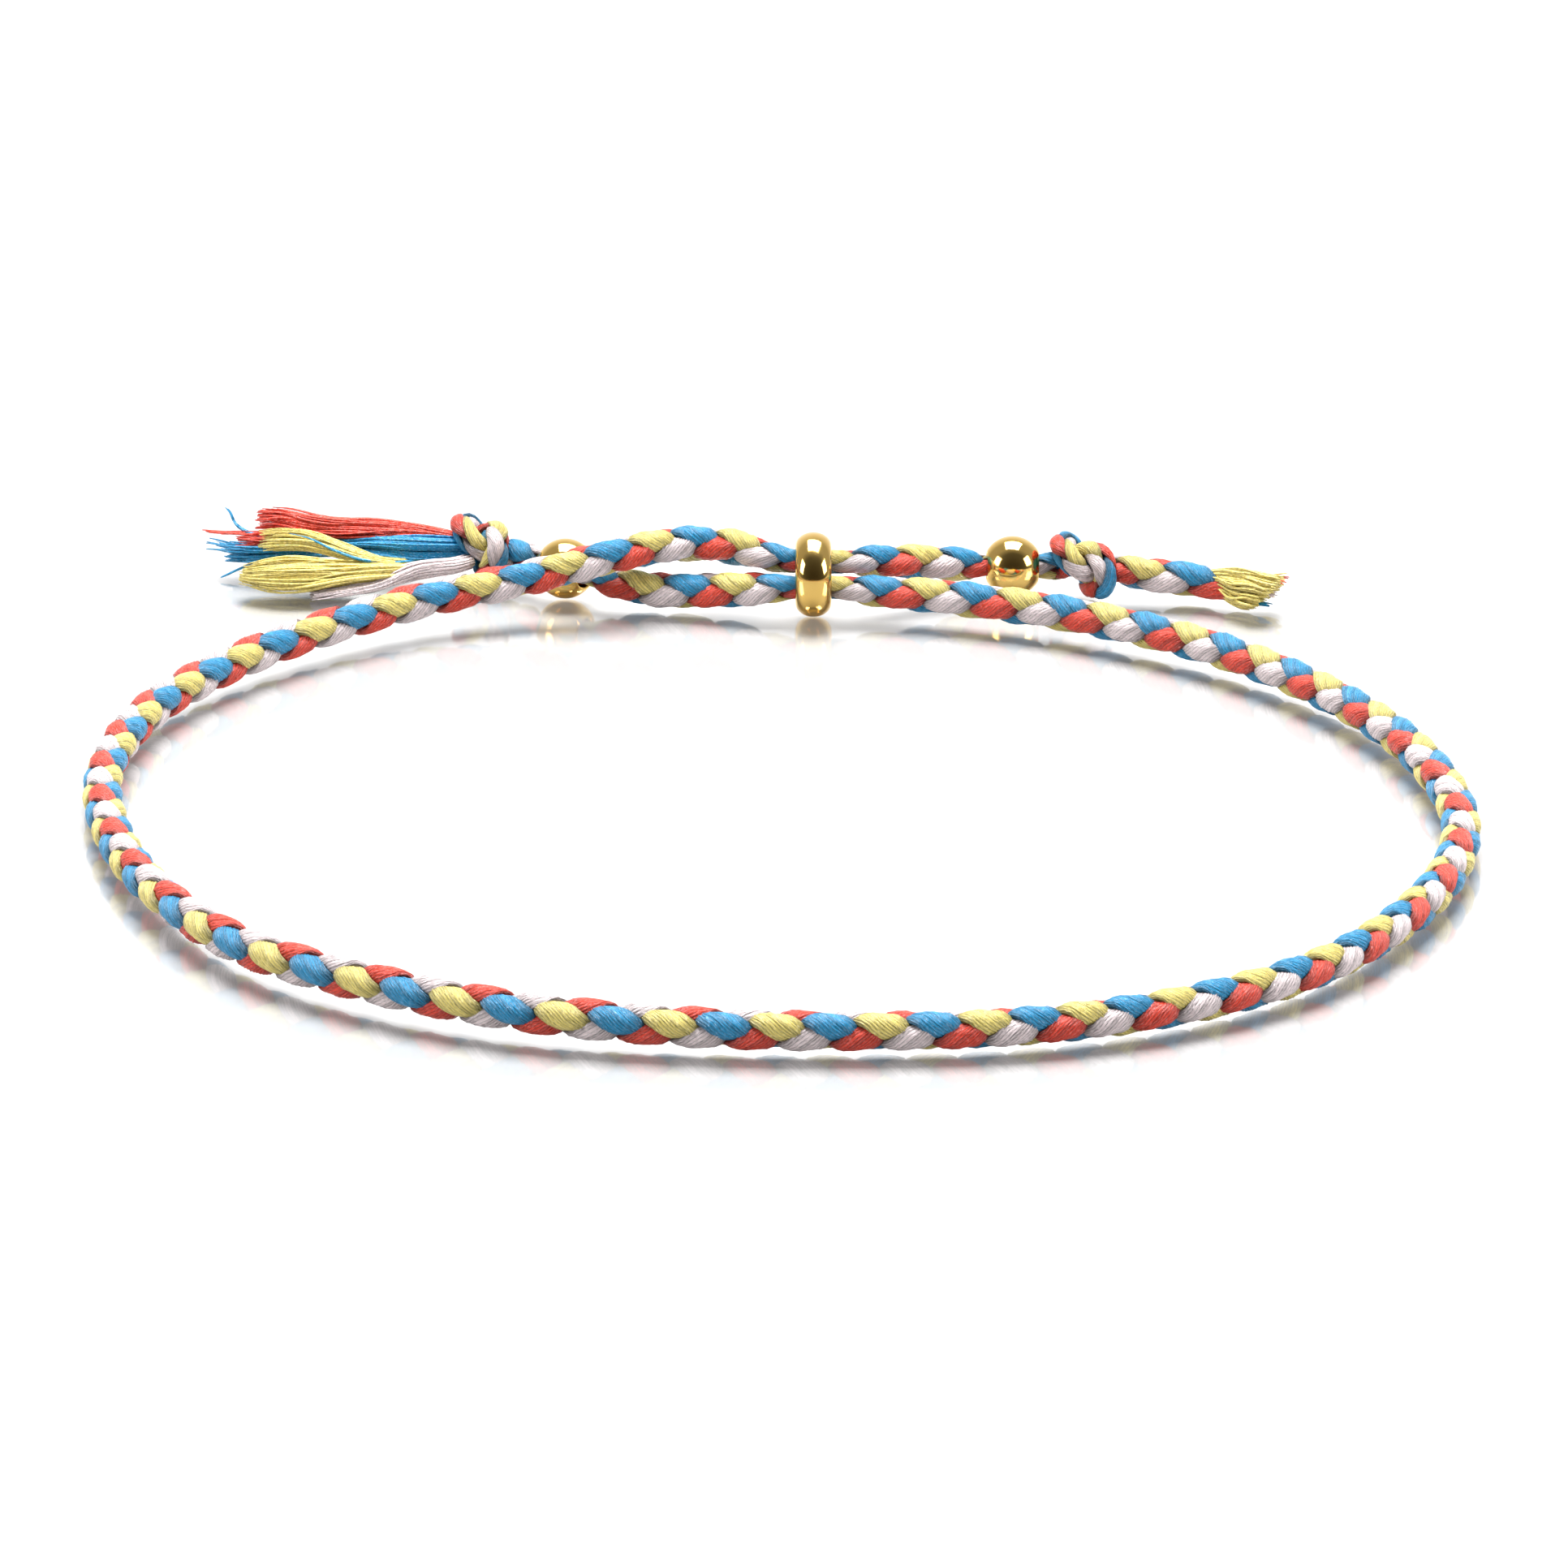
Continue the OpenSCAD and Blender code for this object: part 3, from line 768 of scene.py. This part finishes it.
# %% The locks of the tassel and the tuft
# A lock: rows of x, y, z, half width and half height in mm, then the number of threads,
# how much shorter the shortest is, the slant of the cut and how much the tips spread
TASSEL = {
    "coral": [
        ([[-15.4, 33.6, 1.9, 0.4, 0.32], [-16.9, 34.2, 2.05, 0.42, 0.3],
          [-18.2, 34.6, 2.15, 0.45, 0.32], [-19.5, 34.8, 2.2, 0.6, 0.4],
          [-20.6, 34.8, 2.25, 0.8, 0.48], [-22.2, 34.9, 2.25, 0.85, 0.5],
          [-23.5, 35.3, 2.3, 0.75, 0.45], [-24.9, 35.9, 2.35, 0.62, 0.42],
          [-26.1, 36.2, 2.25, 0.6, 0.42]], 200, 0.14, 0, 0.35),
        ([[-15.4, 33.5, 1.9, 0.4, 0.3], [-17.5, 34.2, 2, 0.42, 0.3],
          [-20.5, 34.7, 2, 0.6, 0.34], [-23, 34.9, 1.9, 0.7, 0.36],
          [-25.2, 34.8, 1.75, 0.65, 0.38], [-27.2, 34.9, 1.7, 0.6, 0.4]], 110, 0.22, 0, 0.4),
        ([[-22, 34.8, 2, 0.3, 0.2], [-25, 35, 1.85, 0.3, 0.2],
          [-27.4, 35.3, 1.9, 0.35, 0.2], [-29.1, 35.8, 1.95, 0.25, 0.15]], 8, 0.3, 0, 0.8),
    ],
    "blue": [
        ([[-15.4, 33.4, 1.6, 0.55, 0.5], [-16.4, 33.2, 1.6, 0.72, 0.62],
          [-18.2, 33.3, 1.6, 0.74, 0.62], [-19.5, 33.7, 1.6, 0.64, 0.5],
          [-20.9, 34.1, 1.55, 0.6, 0.4], [-23.5, 34.4, 1.3, 0.62, 0.36],
          [-25.8, 34.4, 1.1, 0.62, 0.32], [-27.6, 34.8, 1.05, 0.7, 0.32]], 210, 0.12, 0, 0.5),
        ([[-23, 34.4, 1.2, 0.4, 0.2], [-25.8, 34.5, 1.1, 0.45, 0.2],
          [-27.4, 34.9, 1.1, 0.5, 0.22], [-28.9, 35.6, 1.15, 0.55, 0.25]], 20, 0.35, 0, 0.8),
        ([[-17.2, 33.2, 1.15, 0.14, 0.1], [-19, 32, 1.3, 0.14, 0.1],
          [-20.7, 31.15, 1.7, 0.14, 0.1], [-22.1, 31.6, 2, 0.14, 0.08],
          [-23.5, 32.6, 2.35, 0.14, 0.08], [-24.5, 33.2, 2.4, 0.16, 0.08]], 5, 0.2, 0, 0.5),
        ([[-24.5, 34.6, 1.5, 0.1, 0.1], [-26, 35.2, 1.75, 0.1, 0.1],
          [-27, 35.6, 2.1, 0.1, 0.1], [-27.4, 35.9, 2.7, 0.1, 0.08],
          [-27.8, 36, 3.1, 0.1, 0.05]], 5, 0.2, 0, 1),
        ([[-25, 34.3, 0.9, 0.08, 0.06], [-26.8, 33.9, 0.5, 0.08, 0.06],
          [-27.9, 33.4, 0.1, 0.1, 0.02]], 2, 0.05, 0, 0.5),
    ],
    "yellow": [
        ([[-15.4, 33.4, 1.2, 0.35, 0.28], [-17, 33.5, 0.85, 0.38, 0.26],
          [-18.7, 32.6, 1.1, 0.38, 0.26], [-20.4, 31.7, 1.65, 0.42, 0.3],
          [-22.2, 32.4, 2, 0.52, 0.38], [-23.5, 33.3, 2.05, 0.64, 0.44],
          [-24.9, 33.9, 1.95, 0.72, 0.48], [-26, 34.1, 1.85, 0.72, 0.5]], 160, 0.1, 0, 0.1),
        ([[-15.4, 33.3, 1.1, 0.35, 0.28], [-17, 33.4, 0.75, 0.4, 0.28],
          [-18.7, 32.2, 0.9, 0.46, 0.32], [-19.9, 31.5, 1, 0.65, 0.5],
          [-22.2, 31.1, 1, 0.95, 0.68], [-24.2, 30.9, 1, 1.05, 0.74],
          [-25.5, 31.1, 0.95, 0.95, 0.62], [-26.8, 31.4, 0.9, 0.6, 0.4]], 290, 0.12, 0, 0),
    ],
    "white": [
        ([[-15.4, 32.4, 1.3, 0.4, 0.35], [-16.2, 31.8, 1.25, 0.46, 0.4],
          [-17.2, 31.6, 1.2, 0.5, 0.42], [-18.2, 31.7, 1, 0.52, 0.38],
          [-19.2, 31.4, 0.75, 0.48, 0.32], [-20.1, 30.9, 0.5, 0.45, 0.26],
          [-21.4, 30.5, 0.36, 0.48, 0.2], [-23.3, 30.2, 0.24, 0.6, 0.14]], 140, 0.14, 0, 0.3),
    ],
}
TUFT = {
    "yellow": [([[21.1, 29.75, 1.2, 0.4, 0.35], [22, 29.45, 1.12, 0.72, 0.68],
                 [23.1, 28.8, 1, 1.15, 0.92], [24.2, 28.05, 1, 1.45, 0.96],
                 [25.1, 27.65, 0.98, 1.6, 0.98]], 300, 0.08, 0.34, 0)],
    "coral": [([[20.9, 29.7, 1.35, 0.35, 0.25], [23, 29.3, 1.35, 0.6, 0.35],
                [25.3, 28.4, 1.3, 0.8, 0.4]], 20, 0.12, 0.1, 0)],
    "white": [([[20.9, 29.4, 0.85, 0.4, 0.3], [22.8, 29.1, 0.8, 0.6, 0.42],
                [25, 28.4, 0.62, 0.95, 0.42]], 36, 0.2, 0.3, 0)],
    "blue": [([[20.9, 29.4, 0.8, 0.3, 0.3], [22.8, 28.8, 0.6, 0.5, 0.35],
               [24.7, 27.85, 0.46, 0.42, 0.28]], 14, 0.16, 0.1, 0)],
}
for seed, (colour, locks) in enumerate(TASSEL.items(), 20):
    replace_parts(loose_threads("tassel_" + colour, colour, locks, seed), "tassel")
for seed, (colour, locks) in enumerate(TUFT.items(), 30):
    piece = loose_threads("tuft_" + colour, colour, locks, seed, stations=13, waves=0.45)
    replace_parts(piece, "tuft")

# %% [markdown]
# The beads are turned shapes with a mirror finish, so facets would show as kinks in every
# reflection. Each is a closed outline spun round its hole with many steps: the ball has a
# rounded lip at each end of its drilling, the ring is half of an ellipse on its bore.

# %% Outlines of the beads
BALL_R, BALL_HOLE_R, LIP = 1.5, 0.7, 0.08
RING_R, RING_HOLE_R, RING_W = 2.1, 1.42, 1.8
# Points over a ball, round a lip, over the ring's rim and along a bore
BALL_STEPS, LIP_STEPS, RIM_STEPS, BORE_STEPS = 72, 5, 61, 12


def ball_outline():
    """(distance from the axis, place along it): along the bore, round a lip, over the
    ball, round the other lip. A lip is the mean of three points, a, b and c, with the
    weights (1 - t)^2, 2t(1 - t) and t^2."""
    top = math.sqrt(BALL_R ** 2 - (BALL_HOLE_R + LIP) ** 2)
    first = math.asin((BALL_HOLE_R + LIP) / BALL_R)
    arc = np.linspace(first, math.pi - first, BALL_STEPS)
    ball = np.stack([BALL_R * np.sin(arc), BALL_R * np.cos(arc)], axis=1)
    a, b, c = np.array([[BALL_HOLE_R, top - LIP], [BALL_HOLE_R, top], [BALL_HOLE_R + LIP, top]])
    t = np.linspace(0, 1, LIP_STEPS + 2)[1:-1, None]
    lip = (1 - t) ** 2 * a + 2 * t * (1 - t) * b + t ** 2 * c
    bore = np.linspace(-(top - LIP), top - LIP, BORE_STEPS)
    bore = np.stack([np.full(BORE_STEPS, BALL_HOLE_R), bore], axis=1)
    return np.vstack([bore, lip, ball, lip[::-1] * [1, -1]])


def ring_outline():
    """Half of an ellipse from one end of the bore to the other, then back along it."""
    arc = np.linspace(0, math.pi, RIM_STEPS)
    rim = np.stack([RING_HOLE_R + (RING_R - RING_HOLE_R) * np.sin(arc),
                    RING_W / 2 * np.cos(arc)], axis=1)
    bore = np.linspace(-RING_W / 2, RING_W / 2, BORE_STEPS + 2)[1:-1]
    return np.vstack([rim, np.stack([np.full(BORE_STEPS, RING_HOLE_R), bore], axis=1)])


# %% Spin an outline into a bead


def spun_bead(name, outline, middle, axis, material, steps=144):
    """The outline turned round the axis through the middle: a closed ring of quads."""
    axis = unit(np.array(axis))
    level = unit(np.cross([0, 0, 1], axis))
    rise = np.cross(axis, level)
    turn = 2 * math.pi * np.arange(steps) / steps
    spoke = np.cos(turn)[:, None] * level + np.sin(turn)[:, None] * rise
    points = middle + outline[None, :, :1] * spoke[:, None, :] + outline[None, :, 1:] * axis
    count = len(outline)
    i, j = np.arange(steps)[:, None], np.arange(count)[None, :]
    n, m = (i + 1) % steps, (j + 1) % count
    quads = np.stack([i * count + j, i * count + m, n * count + m, n * count + j], axis=-1)
    mesh = bpy.data.meshes.new(name)
    mesh.from_pydata((points.reshape(-1, 3) * MM).tolist(), [], quads.reshape(-1, 4).tolist())
    mesh.polygons.foreach_set("use_smooth", np.ones(len(mesh.polygons), bool))
    mesh.materials.append(material)
    piece = new_object(name, mesh)
    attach(piece, "root")
    return piece


# %% [markdown]
# Gold plate is polished like a mirror, but handling leaves clouds that are a little duller,
# and polishing leaves very fine marks. Two noises on the object's own coordinates give
# both: the larger changes the roughness and the depth of the gold, the finer the surface.

# %% Gold plate


def gold_material():
    """Polished gold plate: mirror metal with faint fine polishing marks and slightly
    duller clouds where it is handled."""
    material, nodes, links, shader = new_material("gold_plate")
    set_inputs(shader, Metallic=1.0)
    place = nodes.new("ShaderNodeTexCoord")
    clouds = set_inputs(nodes.new("ShaderNodeTexNoise"), Scale=900.0, Detail=4.0)
    links.new(place.outputs["Object"], clouds.inputs["Vector"])
    rough = set_inputs(nodes.new("ShaderNodeMapRange"), From_Min=0.35, From_Max=0.75,
                       To_Min=0.07, To_Max=0.16)
    links.new(clouds.outputs["Fac"], rough.inputs["Value"])
    links.new(rough.outputs["Result"], shader.inputs["Roughness"])
    tone = nodes.new("ShaderNodeValToRGB")
    tone.color_ramp.elements[0].color = (0.78, 0.49, 0.12, 1)
    tone.color_ramp.elements[1].color = (0.9, 0.62, 0.2, 1)
    links.new(clouds.outputs["Fac"], tone.inputs["Fac"])
    links.new(tone.outputs["Color"], shader.inputs["Base Color"])
    marks = set_inputs(nodes.new("ShaderNodeTexNoise"), Scale=5000.0)
    links.new(place.outputs["Object"], marks.inputs["Vector"])
    bump = set_inputs(nodes.new("ShaderNodeBump"), Strength=0.15, Distance=0.004 * MM)
    links.new(marks.outputs["Fac"], bump.inputs["Height"])
    links.new(bump.outputs["Normal"], shader.inputs["Normal"])
    return material


# %% Thread the beads on the cord
gold = gold_material()
for name, row in BALL_ROWS.items():
    heading = ROUTE[row + 1, :3] - ROUTE[row - 1, :3]
    bead = spun_bead(name + "_gold", ball_outline(), ROUTE[row, :3], heading, gold)
    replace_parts(bead, name)
ring_middle = ROUTE[RING_ROWS, :3].mean(axis=0)
ring_bead = spun_bead("sliding_bead_gold", ring_outline(), ring_middle, [1, 0, 0], gold)
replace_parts(ring_bead, "sliding_bead")

# %% [markdown]
# The braid is a cord of a fixed length.

# %% [markdown]
# The bracelet lies on a thin clear sheet over a table, so its shadow falls a little below
# it, and the sheet mirrors the cord faintly. The light is soft and comes from above and
# behind, strong enough to turn the grey table white. The room is bright at the far side
# and dark behind the camera, so that the gold has something dark to mirror.

# %% Table and clear sheet
# How far the table and the sheet's mirror lie under the bracelet in mm, and the reach of
# both from the middle in metres
TABLE_DEPTH, SHEET_DEPTH, REACH = 0.42, 0.08, 3.0


def flat_square(name, z_mm, material):
    """A large level square at a height."""
    z = z_mm * MM
    mesh = bpy.data.meshes.new(name)
    mesh.from_pydata([(-REACH, -REACH, z), (REACH, -REACH, z), (REACH, REACH, z),
                      (-REACH, REACH, z)], [], [(0, 1, 2, 3)])
    mesh.materials.append(material)
    plane = new_object(name, mesh)
    return plane


def table_material():
    """Matt grey, which the light turns white."""
    material, *_, shader = new_material("table_white")
    set_inputs(shader, Base_Color=(0.25, 0.25, 0.25, 1), Roughness=0.6)
    return material


def sheet_material():
    """All the light that comes through, plus a weak and slightly dull mirror."""
    material, nodes, links, shader = new_material("clear_sheet")
    nodes.remove(shader)
    through = nodes.new("ShaderNodeBsdfTransparent")
    mirror = set_inputs(nodes.new("ShaderNodeBsdfGlossy"), Color=(0.32, 0.32, 0.32, 1),
                        Roughness=0.1)
    join = nodes.new("ShaderNodeAddShader")
    links.new(through.outputs[0], join.inputs[0])
    links.new(mirror.outputs[0], join.inputs[1])
    links.new(join.outputs[0], nodes["Material Output"].inputs["Surface"])
    return material


stage = [flat_square("table_top", -TABLE_DEPTH, table_material()),
         flat_square("table_sheet", -SHEET_DEPTH, sheet_material())]

# %% Lights


def area_light(name, place, size, power):
    """A soft light of this width and depth at place, in metres, turned towards the
    bracelet. Its power is in watts."""
    data = bpy.data.lights.new(name, "AREA")
    data.shape = "RECTANGLE"
    data.size, data.size_y = size
    data.energy = power
    light = new_object(name, data)
    light.location = place
    way = -np.array(place)
    light.rotation_euler = (math.atan2(math.hypot(way[0], way[1]), -way[2]), 0,
                            math.atan2(way[1], way[0]) - math.pi / 2)


area_light("sky_panel", (0.02, 0.17, 0.51), (0.4, 0.38), 8.6)
area_light("left_box", (-0.42, -0.14, 0.2), (0.2, 0.24), 1.2)
area_light("right_box", (0.42, -0.14, 0.2), (0.2, 0.24), 1.2)

# %% The room


def studio_world():
    """The grey of each direction is read from a ramp by its y, from -1 to 1."""
    world = bpy.data.worlds.new("studio")
    world.use_nodes = True
    nodes, links = world.node_tree.nodes, world.node_tree.links
    direction = nodes.new("ShaderNodeTexCoord")
    split = nodes.new("ShaderNodeSeparateXYZ")
    links.new(direction.outputs["Generated"], split.inputs[0])
    shade = nodes.new("ShaderNodeValToRGB")
    ramp = shade.color_ramp
    ramp.elements[0].position, ramp.elements[1].position = 0.02, 0.99
    ramp.elements[0].color, ramp.elements[1].color = (0.04, 0.036, 0.03, 1), (1, 1, 1, 1)
    for spot, level in ((0.3, 0.09), (0.48, 0.34), (0.75, 0.4)):
        ramp.elements.new(spot).color = (level, level, level, 1)
    front = set_inputs(nodes.new("ShaderNodeMapRange"), From_Min=-1)
    room = set_inputs(nodes["Background"], Strength=1.2)
    links.new(split.outputs["Y"], front.inputs["Value"])
    links.new(front.outputs["Result"], shade.inputs["Fac"])
    links.new(shade.outputs["Color"], room.inputs["Color"])
    return world


scene.world = studio_world()
scene.view_settings.view_transform = "Standard"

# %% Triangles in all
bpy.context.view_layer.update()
total = sum(triangles(piece.data) for piece in bpy.data.objects
            if piece.type == "MESH" and not piece.hide_render and piece not in stage)
print("triangles in all:", total)
